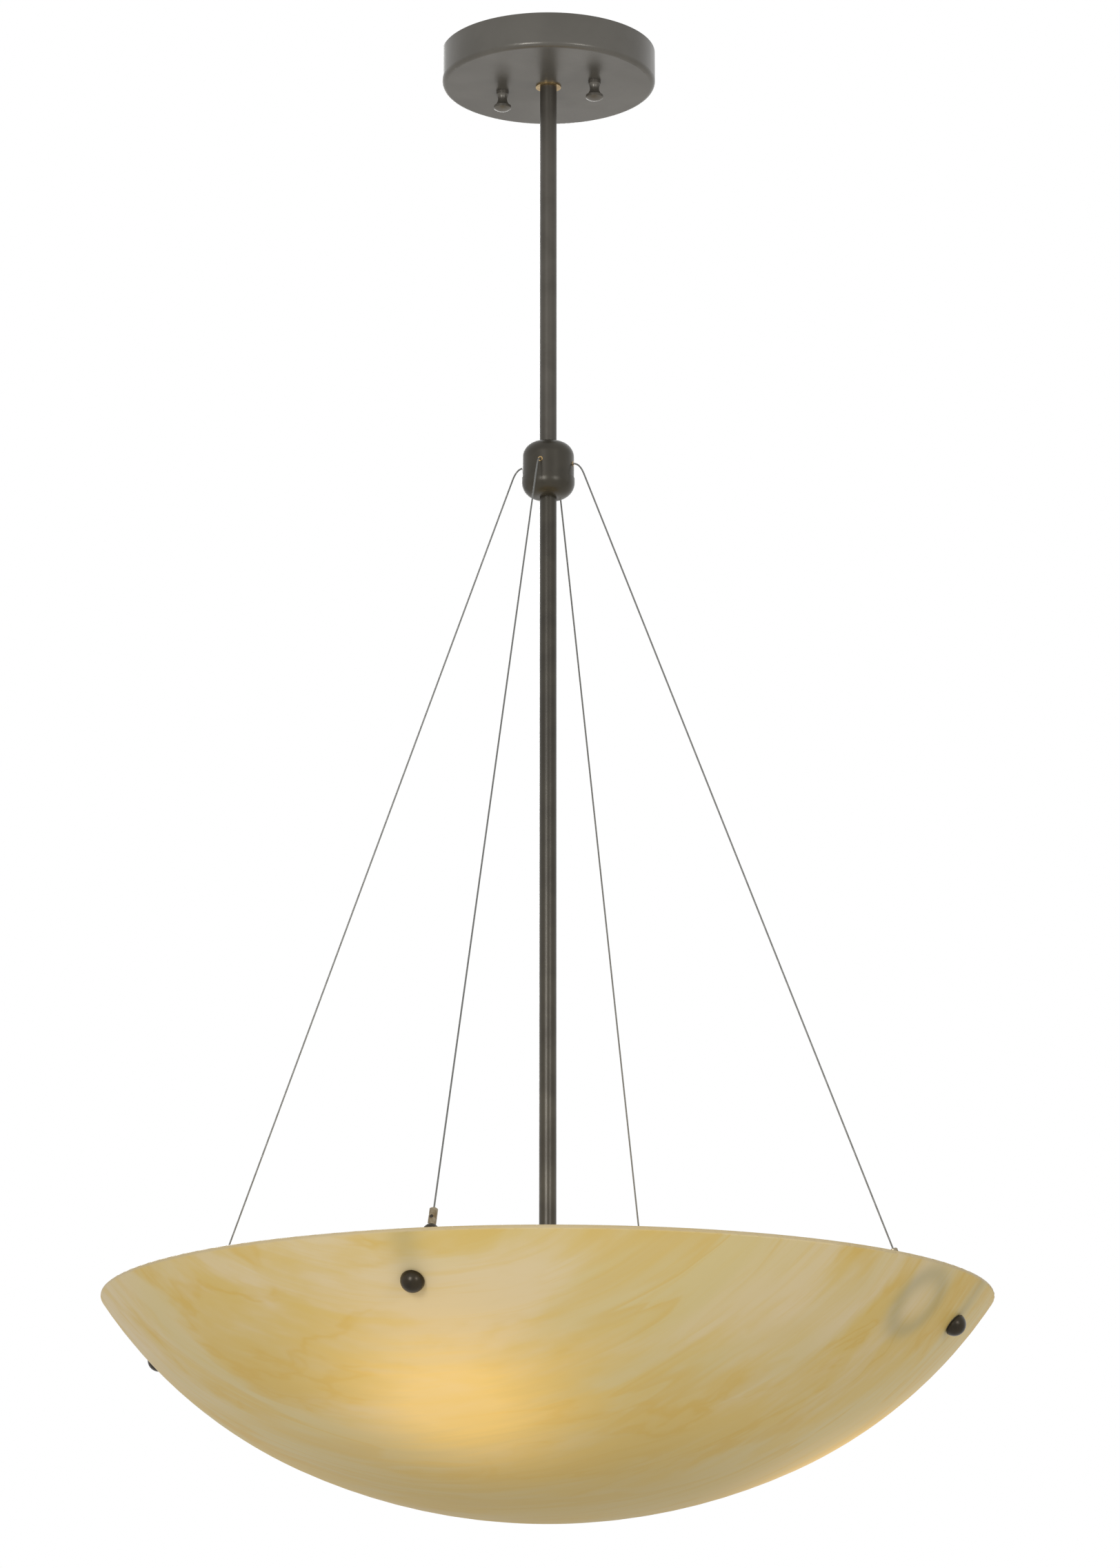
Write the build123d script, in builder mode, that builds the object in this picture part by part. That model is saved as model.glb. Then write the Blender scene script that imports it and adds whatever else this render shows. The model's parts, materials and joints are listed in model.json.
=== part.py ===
from build123d import *
from math import acos, asin, cos, degrees, pi, radians, sin, sqrt, tan
import os

os.makedirs("parts", exist_ok=True)

# An inverted bowl pendant. Sizes are in millimetres, Z is up, and the origin is the middle of the
# ceiling plane that the canopy closes against. Azimuths run from the front (-Y) towards +X.

# Fits
thread_clearance = 0.05  # radial, screwed pieces
slip_clearance = 0.1  # radial, plain pieces that push together
turn_clearance = 0.3  # radial, lamp base in its screw shell
seat_gap = 0.15  # flat washer on the hollow side of the glass
hole_clearance = 0.5  # radial, studs through sheet metal and glass

# Canopy and its ceiling fixing
canopy_diameter = 154.5
canopy_depth = 25.7
canopy_wall = 1.2
canopy_corner = 3.5
crossbar_length = 112.0
crossbar_width = 19.0
crossbar_thickness = 2.5
crossbar_corner = 4.0
wire_hole_diameter = 11.0
box_screw_spacing = 88.9
box_slot_width = 5.2
box_slot_length = 11.0
canopy_stud_spacing = 69.85
canopy_stud_diameter = 4.2
canopy_stud_reach = 10.5  # below the canopy
earth_screw_offset = 20.0
earth_screw_diameter = 4.0
earth_head_diameter = 8.0
earth_head_height = 2.6
small_nut_width = 8.7  # across flats, on the studs
small_nut_height = 3.2

# Canopy knobs
knob_length = 15.0
knob_collar_diameter = 9.0
knob_collar_height = 2.2
knob_neck_diameter = 6.8
knob_head_diameter = 12.5
knob_head_height = 4.0
knob_head_edge = 1.8
knob_floor = 2.0  # metal below the blind thread

# Stem
stem_diameter = 12.0
stem_wall = 1.0
nipple_wall = 1.4
nipple_engagement = 12.0
nipple_stand = 8.0  # above the sheet that it clamps
nipple_nut_width = 14.0
nipple_nut_height = 4.0
lock_washer_diameter = 15.5
lock_washer_thickness = 0.8
lock_washer_teeth = 10
lock_washer_notch = 1.1
seat_ring_diameter = 18.3
seat_ring_thickness = 1.0
lead_diameter = 2.2
lead_count = 3
lead_stand = 6.0  # past the nipple at each end
lead_gap = 0.3  # to the nipple's bore

# Hub
hub_drop = 297.0  # ceiling to the hub's top
hub_height = 40.8
hub_diameter = 36.8
hub_base_diameter = 37.8
hub_shoulder = 10.5
hub_toe = 11.5
hub_wall = 3.0
hub_seam_height = 14.2
hub_spigot_height = 3.0
hub_spigot_wall = 2.0
cable_hole_drop = 17.0  # hub top to the cable holes
eyelet_diameter = 2.8
eyelet_bore = 2.0
eyelet_flange_diameter = 3.6
eyelet_flange_thickness = 0.3
stop_diameter = 4.4
stop_length = 4.6
stop_gap = 0.5  # lets the stops rock behind the eyelets

# Bowl
drop_to_rim = 910.4
bowl_diameter = 613.0  # to the rim's corner, before it is rounded
bowl_depth = 151.4
bowl_wall = 4.8
crown_radius = 415.3  # outside, round the lowest point
crown_reach = 173.2  # radius at which the crown runs into the side
rim_edge = 2.0
fixing_drop = 30.0  # rim to the middle of a cap nut
cap_nut_diameter = 16.0
cap_nut_height = 8.0
cap_nut_edge = 0.5
cap_thread_depth = 6.0
glass_washer_diameter = 14.0
outer_washer_thickness = 0.8
inner_washer_thickness = 1.5

# Cables, grippers and eye studs
cable_diameter = 1.2
cable_corner_reach = 23.5  # radius at which a cable's straight run meets the height of its hole
cable_lead_out = 0.2  # straight length outside the eyelet
cable_in_gripper = 16.0
eye_stud_diameter = 4.2
eye_reach = 40.0  # outside of the glass to the middle of the eye
eye_diameter = 11.0
eye_thickness = 4.0
fork_clearance = 0.25
fork_cheek = 2.0
fork_width = 8.0
fork_toe = 4.0  # eye to the cheeks' lower ends
fork_bridge = 8.5  # eye to the top of the bridge under the ball
fork_round = 3.6
fork_ball_diameter = 11.0
fork_ball_height = 11.0  # eye to the middle of the ball
fork_crotch_clearance = 0.5
pin_diameter = 4.0
pin_proud = 0.6
gripper_diameter = 5.6
gripper_foot = 12.5  # eye to the barrel's lower end
gripper_length = 28.0  # eye to the barrel's top
gripper_bore = 1.8
gripper_edge = 0.5
gripper_screw_diameter = 2.4
gripper_screw_height = 21.0
gripper_screw_recess = 0.3

# Spare tail of the right-hand cable, curled against the glass
tail_hole_diameter = 1.8
tail_lead = 12.0
tail_azimuth = 75.5
tail_drop = 26.5
tail_off_glass = 3.0
tail_loop_radius = 26.0
tail_draw_in = 5.0  # radius lost in one turn
tail_rise = 2.0  # away from the glass in one turn
tail_sides = 8  # runs in one turn
tail_corners = 11  # corners in the loop
tail_entry_offset = 10.0  # where it joins the loop, from the loop's middle
tail_bend_share = 0.45  # of the shorter run, taken by a bend
tail_samples = 400  # points that the gap to itself is read from
tail_near_length = 9.6  # along the cable, too near to count as a gap

# Lamps and their cluster
lamp_count = 3
lamp_drop = 49.0  # rim to the lamps' axes
lamp_centre_reach = 177.0  # stem axis to the middle of a lamp's globe
lamp_diameter = 60.0
lamp_length = 108.0
lamp_neck_height = 30.0  # base contact to the start of the flare
lamp_glass_wall = 1.0
lamp_glass_seat = 18.0  # base contact to the lower edge of the glass
base_diameter = 26.0
base_length = 25.0
base_wall = 0.8
base_floor = 8.0
base_shoulder = 5.0
base_contact_diameter = 9.0
base_contact_height = 2.0
socket_diameter = 38.0
socket_length = 50.0
socket_front = 24.0  # base contact to the lampholder's front
socket_edge = 2.0
shell_wall = 0.5
shell_length = 22.0
contact_diameter = 8.0
contact_height = 2.4
contact_gap = 0.1
arm_seat = 10.0  # arm inside the lampholder
arm_stand = 8.0  # arm inside the cluster
arm_nut_height = 4.0
cluster_diameter = 60.0
cluster_height = 40.0
cluster_wall = 1.5
cluster_corner = 8.0
cover_lip_height = 6.0
cover_lip_wall = 1.5
cover_edge = 1.0

# Worked-out sizes
nipple_radius = stem_diameter / 2 - stem_wall - thread_clearance
nipple_hole = nipple_radius + thread_clearance
nipple_bore = nipple_radius - nipple_wall
canopy_stud_hole = canopy_stud_diameter / 2 + thread_clearance
eye_stud_hole = eye_stud_diameter / 2 + thread_clearance
stem_top = -canopy_depth - seat_ring_thickness
hub_top = -hub_drop
hub_bottom = hub_top - hub_height
hub_seam = hub_bottom + hub_seam_height
cable_hole_z = hub_top - cable_hole_drop
rim_z = -drop_to_rim
lamp_z = rim_z - lamp_drop
cluster_top = lamp_z + cluster_height / 2
cluster_bottom = lamp_z - cluster_height / 2
canopy_floor_top = -canopy_depth + canopy_wall
cluster_ceiling = cluster_top - cluster_wall
top_align = (Align.CENTER, Align.CENTER, Align.MAX)
foot_align = (Align.CENTER, Align.CENTER, Align.MIN)

# The bowl's outside is a crown arc that runs into a side arc. Heights are from the rim.
crown_angle = asin(crown_reach / crown_radius)
crown_centre = crown_radius - bowl_depth
join = Vector(crown_reach, crown_centre - crown_radius * cos(crown_angle))
towards_centre = Vector(-sin(crown_angle), cos(crown_angle))
rim_from_join = Vector(bowl_diameter / 2, 0) - join
side_radius = rim_from_join.length**2 / (2 * rim_from_join.dot(towards_centre))
side_centre = join + towards_centre * side_radius


def side_slope(drop):
    """Angle between the side arc's outward normal and straight down, that far below the rim."""
    return acos((side_centre.Y + drop) / side_radius)


def radial(azimuth):
    return Vector(sin(radians(azimuth)), -cos(radians(azimuth)), 0)


def tangent(azimuth):
    return Vector(cos(radians(azimuth)), sin(radians(azimuth)), 0)


def place(azimuth, reach, height):
    return radial(azimuth) * reach + Vector(0, 0, height)


def glass_plane(azimuth, drop):
    """Plane on the bowl's outside, its Z along the outward normal and its X round the bowl."""
    slope = side_slope(drop)
    reach = side_centre.X + side_radius * sin(slope)
    normal = radial(azimuth) * sin(slope) + Vector(0, 0, -cos(slope))
    return Plane(place(azimuth, reach, rim_z - drop), x_dir=tangent(azimuth), z_dir=normal)


def radial_plane(azimuth, reach, height):
    """Upright plane facing away from the stem's axis."""
    return Plane(place(azimuth, reach, height), x_dir=tangent(azimuth), z_dir=radial(azimuth))


def section_plane(reach, height):
    """Upright plane facing the front, for turned profiles."""
    return Plane((reach, 0, height), x_dir=(1, 0, 0), z_dir=(0, -1, 0))


def gripper_plane(azimuth):
    """Plane at the middle of an eye, its Z up along the cable."""
    glass = glass_plane(azimuth, fixing_drop)
    eye = glass.origin - glass.z_dir * eye_reach
    corner = place(azimuth, cable_corner_reach, cable_hole_z)
    return Plane(eye, x_dir=tangent(azimuth), z_dir=corner - eye)


def keep(builder, name):
    builder.part.label = name
    export_step(builder.part, f"parts/{name}.step")


sides = {"front": 0, "right": 90, "back": 180, "left": 270}
glass_planes = {side: glass_plane(azimuth, fixing_drop) for side, azimuth in sides.items()}
gripper_planes = {side: gripper_plane(azimuth) for side, azimuth in sides.items()}
hole_planes = [radial_plane(azimuth, hub_diameter / 2, cable_hole_z) for azimuth in sides.values()]
lamp_azimuths = [360 / lamp_count * index for index in range(lamp_count)]
contact_reach = lamp_centre_reach + lamp_diameter / 2 - lamp_length
lamp_planes = [radial_plane(azimuth, contact_reach, lamp_z) for azimuth in lamp_azimuths]
stud_places = [(-canopy_stud_spacing / 2, 0), (canopy_stud_spacing / 2, 0)]
slot_places = [(-box_screw_spacing / 2, 0), (box_screw_spacing / 2, 0)]

# Canopy: a spun cup, open towards the ceiling
with BuildPart() as canopy:
    Cylinder(canopy_diameter / 2, canopy_depth, align=top_align)
    fillet(canopy.edges().group_by(Axis.Z)[0], canopy_corner)
    offset(amount=-canopy_wall, openings=canopy.faces().sort_by(Axis.Z)[-1])
    Hole(nipple_hole)
    with Locations(*stud_places):
        Hole(canopy_stud_diameter / 2 + hole_clearance)
keep(canopy, "canopy")

# Crossbar that screws to the ceiling box, with its studs, their nuts and the earth screw
with BuildPart() as crossbar:
    with BuildSketch() as strap:
        RectangleRounded(crossbar_length, crossbar_width, crossbar_corner)
        Circle(wire_hole_diameter / 2, mode=Mode.SUBTRACT)
        with Locations(*stud_places):
            Circle(canopy_stud_hole, mode=Mode.SUBTRACT)
        with Locations(*slot_places):
            SlotOverall(box_slot_length, box_slot_width, mode=Mode.SUBTRACT)
        with Locations((earth_screw_offset, 0)):
            Circle(earth_screw_diameter / 2 + thread_clearance, mode=Mode.SUBTRACT)
    extrude(amount=-crossbar_thickness)
keep(crossbar, "crossbar")

with BuildPart() as canopy_studs:
    with Locations(*stud_places):
        Cylinder(canopy_stud_diameter / 2, canopy_depth + canopy_stud_reach, align=top_align)
keep(canopy_studs, "canopy_studs")

with BuildPart() as canopy_stud_nuts:
    with BuildSketch(Plane.XY.offset(-crossbar_thickness)):
        with Locations(*stud_places):
            RegularPolygon(small_nut_width / 2, 6, major_radius=False)
            Circle(canopy_stud_hole, mode=Mode.SUBTRACT)
    extrude(amount=-small_nut_height)
keep(canopy_stud_nuts, "canopy_stud_nuts")

with BuildPart() as earth_screw:
    with Locations((earth_screw_offset, 0, -crossbar_thickness)):
        Cylinder(earth_head_diameter / 2, earth_head_height, align=top_align)
    fillet(earth_screw.edges().group_by(Axis.Z)[0], earth_head_height / 3)
    with Locations((earth_screw_offset, 0, -crossbar_thickness)):
        Cylinder(earth_screw_diameter / 2, crossbar_thickness, align=foot_align)
keep(earth_screw, "earth_screw")

# Canopy knobs: blind-threaded nuts with a collar, a hollow neck and a flared head
head_top = knob_head_height - knob_length
neck_middle = (head_top - knob_collar_height) / 2
for side, (stud_x, _) in zip(("left", "right"), stud_places):
    with BuildPart() as canopy_knob:
        with BuildSketch(section_plane(stud_x, -canopy_depth)):
            with BuildLine():
                collar = Polyline(
                    (0, -knob_length),
                    (0, 0),
                    (knob_collar_diameter / 2, 0),
                    (knob_collar_diameter / 2, -knob_collar_height),
                )
                neck = ThreePointArc(
                    collar @ 1,
                    (knob_neck_diameter / 2, neck_middle),
                    (knob_head_diameter / 2, head_top),
                )
                edge = Line(neck @ 1, neck @ 1 - Vector(0, knob_head_edge))
                TangentArc(collar @ 0, edge @ 1, tangent=(1, 0))
            make_face()
        revolve(axis=Axis((stud_x, 0, 0), (0, 0, 1)))
        with Locations((stud_x, 0, -canopy_depth)):
            Hole(canopy_stud_hole, depth=knob_length - knob_floor)
    keep(canopy_knob, f"canopy_knob_{side}")


# Threaded tubes that join the stem to what it passes through
def pipe(low, high, outer_radius, inner_radius):
    """Upright tube on the stem's axis."""
    with BuildPart() as tube:
        with BuildSketch(Plane.XY.offset(low)):
            Circle(outer_radius)
            Circle(inner_radius, mode=Mode.SUBTRACT)
        extrude(amount=high - low)
    return tube


def lock_nut(foot, height):
    """Hex nut on a nipple, standing on that height."""
    with BuildPart() as nut:
        with BuildSketch(Plane.XY.offset(foot)):
            RegularPolygon(nipple_nut_width / 2, 6, major_radius=False)
            Circle(nipple_hole, mode=Mode.SUBTRACT)
        extrude(amount=height)
    return nut


canopy_nipple_top = canopy_floor_top + nipple_stand
cluster_nipple_bottom = cluster_ceiling - nipple_stand
keep(pipe(stem_top, -canopy_depth, seat_ring_diameter / 2, nipple_hole), "seat_ring")
keep(pipe(stem_top - nipple_engagement, canopy_nipple_top, nipple_radius, nipple_bore), "canopy_nipple")
keep(lock_nut(canopy_floor_top + lock_washer_thickness, nipple_nut_height), "canopy_nipple_nut")

with BuildPart() as canopy_lock_washer:
    with BuildSketch(Plane.XY.offset(canopy_floor_top)):
        Circle(lock_washer_diameter / 2)
        Circle(nipple_hole, mode=Mode.SUBTRACT)
        with PolarLocations(lock_washer_diameter / 2, lock_washer_teeth):
            Circle(lock_washer_notch, mode=Mode.SUBTRACT)
    extrude(amount=lock_washer_thickness)
keep(canopy_lock_washer, "canopy_lock_washer")

# Stem
stem_bore = stem_diameter / 2 - stem_wall
keep(pipe(hub_top, stem_top, stem_diameter / 2, stem_bore), "upper_stem")
keep(pipe(cluster_top, hub_bottom, stem_diameter / 2, stem_bore), "lower_stem")

hub_nipple_low = hub_bottom - nipple_engagement
hub_nipple_high = hub_top + nipple_engagement
keep(pipe(hub_nipple_low, hub_nipple_high, nipple_radius, nipple_bore), "hub_nipple")

cluster_nipple_high = cluster_top + nipple_engagement
keep(pipe(cluster_nipple_bottom, cluster_nipple_high, nipple_radius, nipple_bore), "cluster_nipple")
keep(lock_nut(cluster_ceiling - nipple_nut_height, nipple_nut_height), "cluster_nipple_nut")

lead_bottom = cluster_nipple_bottom - lead_stand
lead_length = canopy_nipple_top + lead_stand - lead_bottom
with BuildPart() as lead_wires:
    with Locations((0, 0, lead_bottom)):
        with PolarLocations(nipple_bore - lead_gap - lead_diameter / 2, lead_count):
            Cylinder(lead_diameter / 2, lead_length, align=foot_align)
keep(lead_wires, "lead_wires")

# Hub: a cover with the cable holes, and a slightly wider base whose spigot centres it
cover_inside = hub_diameter / 2 - hub_wall
spigot_radius = cover_inside - slip_clearance
spigot_inside = spigot_radius - hub_spigot_wall
with BuildPart() as hub_cover:
    with Locations((0, 0, hub_top)):
        Cylinder(hub_diameter / 2, hub_height - hub_seam_height, align=top_align)
    fillet(hub_cover.edges().group_by(Axis.Z)[-1], hub_shoulder)
    offset(amount=-hub_wall, openings=hub_cover.faces().sort_by(Axis.Z)[0])
    with Locations((0, 0, hub_top)):
        Hole(nipple_hole)
    with Locations(*hole_planes):
        Hole(eyelet_diameter / 2 + slip_clearance, depth=2 * hub_wall)
keep(hub_cover, "hub_cover")

with BuildPart() as hub_base:
    with Locations((0, 0, hub_seam)):
        Cylinder(hub_base_diameter / 2, hub_seam_height, align=top_align)
    fillet(hub_base.edges().group_by(Axis.Z)[0], hub_toe)
    offset(amount=spigot_inside - hub_base_diameter / 2, openings=hub_base.faces().sort_by(Axis.Z)[-1])
    with BuildSketch(Plane.XY.offset(hub_seam)):
        Circle(spigot_radius)
        Circle(spigot_inside, mode=Mode.SUBTRACT)
    extrude(amount=hub_spigot_height)
    with Locations((0, 0, hub_bottom)):
        Hole(nipple_hole)
keep(hub_base, "hub_base")

with BuildPart() as hub_eyelets:
    with Locations(*hole_planes):
        Cylinder(eyelet_flange_diameter / 2, eyelet_flange_thickness, align=foot_align)
        Cylinder(eyelet_diameter / 2, hub_wall, align=top_align)
        Hole(eyelet_bore / 2)
keep(hub_eyelets, "hub_eyelets")

stop_outer_reach = cover_inside - stop_gap
stop_planes = [radial_plane(azimuth, stop_outer_reach, cable_hole_z) for azimuth in sides.values()]
with BuildPart() as cable_stops:
    with Locations(*stop_planes):
        Cylinder(stop_diameter / 2, stop_length, align=top_align)
        Hole(cable_diameter / 2 + thread_clearance, depth=stop_length)
keep(cable_stops, "cable_stops")

# Bowl: one wall between two pairs of arcs, with a rounded rim
inner_rim_slope = acos(side_centre.Y / (side_radius - bowl_wall))
with BuildPart() as bowl:
    with BuildSketch(section_plane(0, rim_z)) as wall_section:
        with BuildLine():
            crown = CenterArc((0, crown_centre), crown_radius, -90, degrees(crown_angle))
            side_arc = TangentArc(crown @ 1, (bowl_diameter / 2, 0), tangent=crown % 1)
            inner_crown = CenterArc((0, crown_centre), crown_radius - bowl_wall, -90, degrees(crown_angle))
            inner_side = CenterArc(
                (side_centre.X, side_centre.Y),
                side_radius - bowl_wall,
                degrees(crown_angle) - 90,
                degrees(inner_rim_slope - crown_angle),
            )
            Line(side_arc @ 1, inner_side @ 1)
            Line(crown @ 0, inner_crown @ 0)
        make_face()
        fillet(wall_section.vertices().group_by(Axis.Y)[-1], rim_edge)
    revolve(axis=Axis.Z)
    with Locations(*glass_planes.values()):
        Hole(eye_stud_diameter / 2 + hole_clearance, depth=2 * bowl_wall)
keep(bowl, "bowl")
print(f"bowl: side radius {side_radius:.1f} mm, rim slope {degrees(side_slope(0)):.1f} degrees")

# Fixings through the glass. Z is the glass's outward normal, from its outer face.
inner_washer_top = -bowl_wall - seat_gap
with BuildPart() as cap_nut:
    with BuildSketch(section_plane(0, outer_washer_thickness)) as dome_section:
        with BuildLine():
            dome = TangentArc((cap_nut_diameter / 2, 0), (0, cap_nut_height), tangent=(0, 1))
            Polyline(dome @ 1, (0, 0), dome @ 0)
        make_face()
        fillet(dome_section.vertices().sort_by(Axis.X)[-1], cap_nut_edge)
    revolve(axis=Axis.Z)
    with Locations(Plane.XY.offset(outer_washer_thickness).rotated((180, 0, 0))):
        Hole(eye_stud_hole, depth=cap_thread_depth)
for side, plane in glass_planes.items():
    with BuildPart() as placed:
        with Locations(plane):
            add(cap_nut.part)
    keep(placed, f"cap_nut_{side}")

washer_hole = eye_stud_diameter / 2 + slip_clearance
with BuildPart() as outer_washers:
    with BuildSketch(*glass_planes.values()):
        Circle(glass_washer_diameter / 2)
        Circle(washer_hole, mode=Mode.SUBTRACT)
    extrude(amount=outer_washer_thickness)
keep(outer_washers, "outer_washers")

with BuildPart() as inner_washers:
    with BuildSketch(*[plane.offset(inner_washer_top) for plane in glass_planes.values()]):
        Circle(glass_washer_diameter / 2)
        Circle(washer_hole, mode=Mode.SUBTRACT)
    extrude(amount=-inner_washer_thickness)
keep(inner_washers, "inner_washers")

inner_nut_top = inner_washer_top - inner_washer_thickness
with BuildPart() as inner_nuts:
    with BuildSketch(*[plane.offset(inner_nut_top) for plane in glass_planes.values()]):
        RegularPolygon(small_nut_width / 2, 6, major_radius=False)
        Circle(eye_stud_hole, mode=Mode.SUBTRACT)
    extrude(amount=-small_nut_height)
keep(inner_nuts, "inner_nuts")

stud_tip = outer_washer_thickness + cap_thread_depth - turn_clearance
with BuildPart() as eye_studs:
    with Locations(*[plane.offset(stud_tip) for plane in glass_planes.values()]):
        Cylinder(eye_stud_diameter / 2, stud_tip + eye_reach, align=top_align)
    with Locations(*[plane.offset(-eye_reach) for plane in glass_planes.values()]):
        Cylinder(eye_diameter / 2, eye_thickness, rotation=(0, 90, 0))
        Cylinder(
            pin_diameter / 2 + thread_clearance,
            2 * eye_diameter,
            rotation=(0, 90, 0),
            mode=Mode.SUBTRACT,
        )
keep(eye_studs, "eye_studs")

# Gripper ends. Z runs up the cable from the middle of the eye, X goes round the bowl.
fork_gap = eye_thickness + 2 * fork_clearance
fork_across = fork_gap + 2 * fork_cheek
with BuildPart() as fork:
    with BuildSketch(Plane.YZ.offset(-fork_across / 2)) as cheek:
        with Locations((0, -fork_toe)):
            Rectangle(fork_width, fork_toe + fork_bridge, align=(Align.CENTER, Align.MIN))
        fillet(cheek.vertices().group_by(Axis.Y)[0], fork_round)
    extrude(amount=fork_across)
    with Locations((0, 0, fork_ball_height)):
        Sphere(fork_ball_diameter / 2)
    Cylinder(eye_diameter / 2 + fork_crotch_clearance, fork_gap, rotation=(0, 90, 0), mode=Mode.SUBTRACT)
    Cylinder(pin_diameter / 2 + slip_clearance, fork_across, rotation=(0, 90, 0), mode=Mode.SUBTRACT)
    with Locations((0, 0, gripper_length)):
        Hole(gripper_diameter / 2 + slip_clearance, depth=gripper_length - gripper_foot + slip_clearance)
    with Locations((0, 0, fork_ball_height)):
        Cylinder(
            tail_hole_diameter / 2,
            fork_ball_diameter,
            rotation=(0, -90, 0),
            align=foot_align,
            mode=Mode.SUBTRACT,
        )

with BuildPart() as gripper:
    with Locations((0, 0, gripper_foot)):
        Cylinder(gripper_diameter / 2, gripper_length - gripper_foot, align=foot_align)
    chamfer(gripper.edges().group_by(Axis.Z)[-1], gripper_edge)
    with Locations((0, 0, gripper_length)):
        Hole(gripper_bore / 2)
    with Locations((0, 0, gripper_screw_height)):
        Cylinder(
            gripper_screw_diameter / 2 + thread_clearance,
            gripper_diameter,
            rotation=(90, 0, 0),
            align=foot_align,
            mode=Mode.SUBTRACT,
        )

for side, plane in gripper_planes.items():
    with BuildPart() as placed:
        with Locations(plane):
            add(fork.part)
    keep(placed, f"fork_{side}")
    with BuildPart() as placed:
        with Locations(plane):
            add(gripper.part)
    keep(placed, f"gripper_{side}")

with BuildPart() as fork_pins:
    with Locations(*gripper_planes.values()):
        Cylinder(pin_diameter / 2, fork_across + 2 * pin_proud, rotation=(0, 90, 0))
keep(fork_pins, "fork_pins")

screw_inner = cable_diameter / 2 + thread_clearance
screw_length = gripper_diameter / 2 - gripper_screw_recess - screw_inner
screw_planes = [
    Plane(
        plane.origin + plane.z_dir * gripper_screw_height - plane.y_dir * screw_inner,
        x_dir=plane.x_dir,
        z_dir=-plane.y_dir,
    )
    for plane in gripper_planes.values()
]
with BuildPart() as gripper_screws:
    with Locations(*screw_planes):
        Cylinder(gripper_screw_diameter / 2, screw_length, align=foot_align)
keep(gripper_screws, "gripper_screws")

# Cables: level out of the hub, round a bend, then straight down to the gripper
cable_start_reach = stop_outer_reach - stop_length
bend_start_reach = hub_diameter / 2 + eyelet_flange_thickness + cable_lead_out
for side, azimuth in sides.items():
    plane = gripper_planes[side]
    corner = place(azimuth, cable_corner_reach, cable_hole_z)
    turn = plane.z_dir.get_angle(-radial(azimuth))
    bend_radius = (cable_corner_reach - bend_start_reach) / tan(radians(turn / 2))
    with BuildPart() as cable:
        with BuildLine():
            route = FilletPolyline(
                place(azimuth, cable_start_reach, cable_hole_z),
                corner,
                plane.origin + plane.z_dir * cable_in_gripper,
                radius=bend_radius,
            )
        with BuildSketch(Plane(route @ 0, z_dir=route % 0)):
            Circle(cable_diameter / 2)
        sweep()
    keep(cable, f"cable_{side}")
    share = cable.part.volume / (route.length * pi * cable_diameter**2 / 4)
    print(f"cable_{side}: {route.length:.1f} mm, bend {bend_radius:.1f} mm, volume share {share:.4f}")

# Spare tail: out of the right-hand fork's ball, then a loose loop that lies along the glass
tail_glass = glass_plane(tail_azimuth, tail_drop)
tail_plane = Plane(
    tail_glass.origin - tail_glass.z_dir * (bowl_wall + tail_off_glass),
    x_dir=tail_glass.x_dir,
    z_dir=-tail_glass.z_dir,
)
ball = gripper_planes["right"].origin + gripper_planes["right"].z_dir * fork_ball_height
corner_turn = 360 / tail_sides
tail_points = [ball - gripper_planes["right"].x_dir * reach for reach in (gripper_bore / 2, tail_lead)]
tail_radii = []
entry = Vector(tail_entry_offset, -tail_loop_radius, tail_rise)
tail_points.append(tail_plane.from_local_coords(entry))
for index in range(tail_corners):
    turns = index / tail_sides
    corner_radius = (tail_loop_radius - tail_draw_in * turns) / cos(radians(corner_turn / 2))
    angle = radians(90 + corner_turn * (index + 0.5))
    corner = Vector(corner_radius * cos(angle), -corner_radius * sin(angle), tail_rise * turns)
    tail_points.append(tail_plane.from_local_coords(corner))
for before, at, after in zip(tail_points, tail_points[1:], tail_points[2:]):
    turn = (at - before).get_angle(after - at)
    run = min((at - before).length, (after - at).length)
    tail_radii.append(tail_bend_share * run / tan(radians(turn / 2)))
print("tail radii", [round(radius, 1) for radius in tail_radii])
with BuildPart() as cable_tail:
    with BuildLine():
        route = FilletPolyline(*tail_points, radius=tail_radii)
    with BuildSketch(Plane(route @ 0, z_dir=route % 0)):
        Circle(cable_diameter / 2)
    sweep()
keep(cable_tail, "cable_tail")
share = cable_tail.part.volume / (route.length * pi * cable_diameter**2 / 4)
along = [route @ (step / tail_samples) for step in range(tail_samples + 1)]
apart = int(tail_samples * tail_near_length / route.length) + 1
self_gap = min(
    (first - second).length - cable_diameter
    for index, first in enumerate(along)
    for second in along[index + apart :]
)
print(f"cable_tail: {route.length:.1f} mm, volume share {share:.4f}, least gap to itself {self_gap:.2f} mm")

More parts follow.
